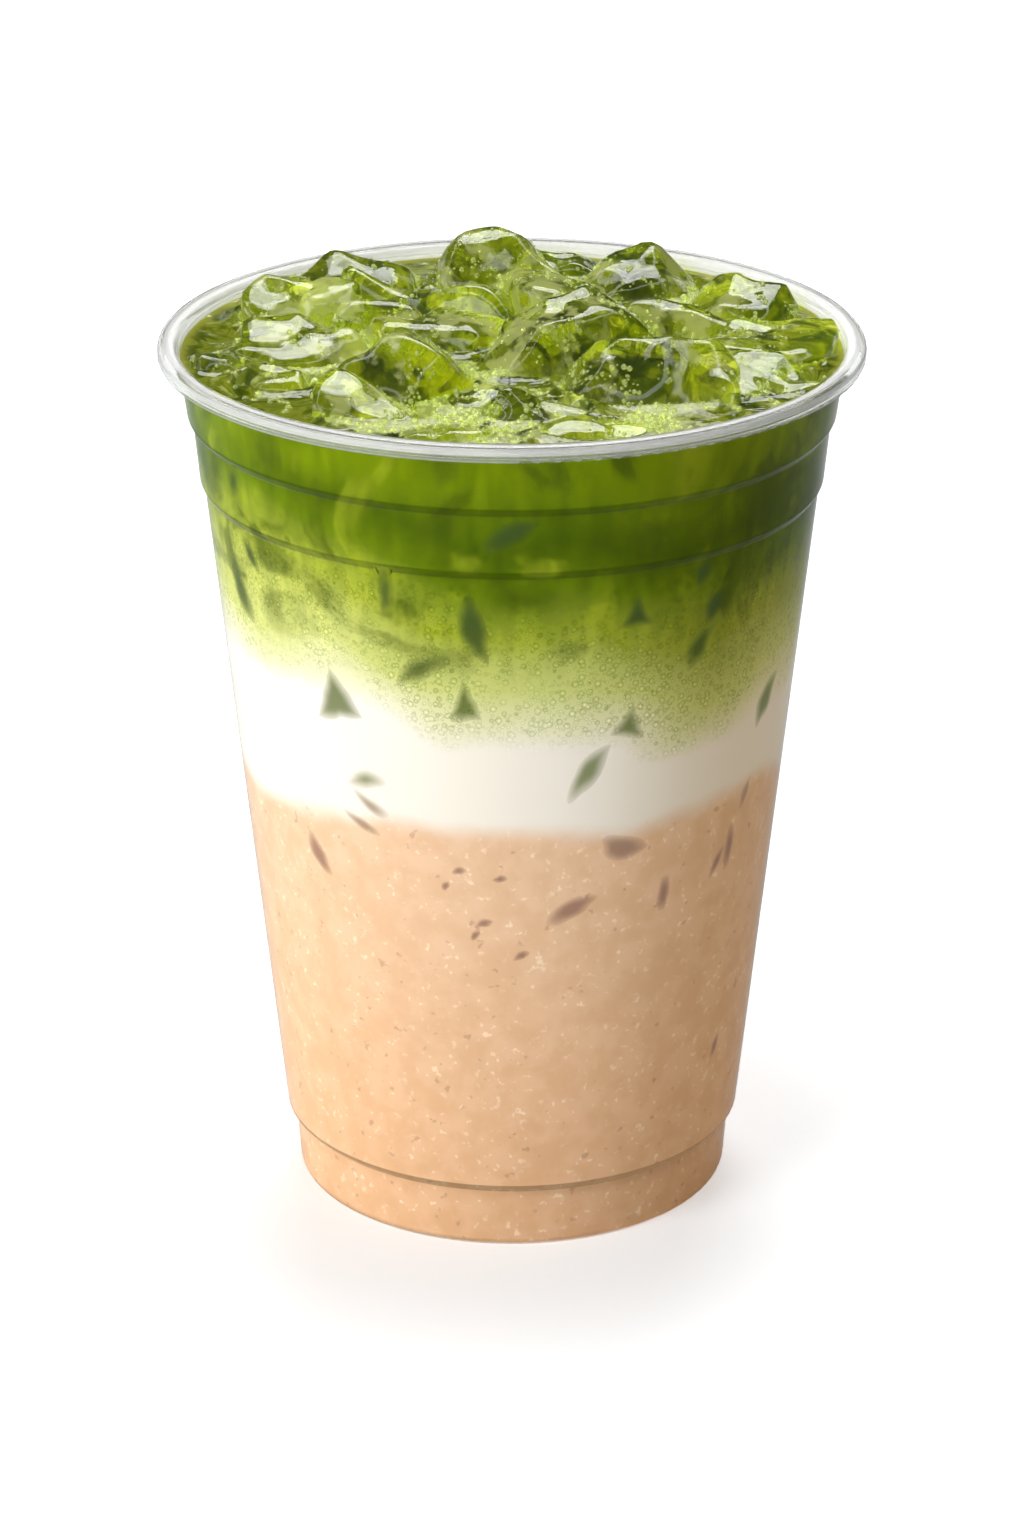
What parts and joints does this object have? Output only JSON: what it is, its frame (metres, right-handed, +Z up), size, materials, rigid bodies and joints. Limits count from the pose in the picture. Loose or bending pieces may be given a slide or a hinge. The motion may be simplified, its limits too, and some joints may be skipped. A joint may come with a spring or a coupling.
{
  "type": "iced matcha latte",
  "caption": "Layered iced latte of coffee, milk and matcha in a clear tapered take-away cup with a rolled rim, heaped with melting ice.",
  "frame": {"origin": "middle of the circle the cup stands on", "axes": "+Z up along the cup's axis, -Y towards the front of the drink, +X to its right"},
  "size_m": [0.098, 0.098, 0.1324],
  "materials": {
    "clear_cup": "clear, glossy thermoformed sheet",
    "coffee": "milky tan liquid, wet",
    "milk": "white liquid, wet",
    "matcha": "green liquid with fine foam, wet",
    "ice": "melting ice, wet and glossy"
  },
  "bodies": {
    "root": {"coffee": "coffee", "cup": "clear_cup", "ice_back_chip": "ice", "ice_back_left": "ice", "ice_back_right": "ice", "ice_centre": "ice", "ice_centre_right": "ice", "ice_dome": "ice", "ice_front_edge": "ice", "ice_front_facet": "ice", "ice_front_left": "ice", "ice_front_low": "ice", "ice_front_right": "ice", "ice_front_small": "ice", "ice_left_back": "ice", "ice_left_block": "ice", "ice_left_chip": "ice", "ice_left_front": "ice", "ice_left_shard": "ice", "ice_left_slab": "ice", "ice_middle_flat": "ice", "ice_peak": "ice", "ice_pyramid": "ice", "ice_right_back": "ice", "ice_right_front": "ice", "ice_right_slab": "ice", "ice_wave": "ice", "matcha": "matcha", "milk": "milk"}
  },
  "joints": []
}
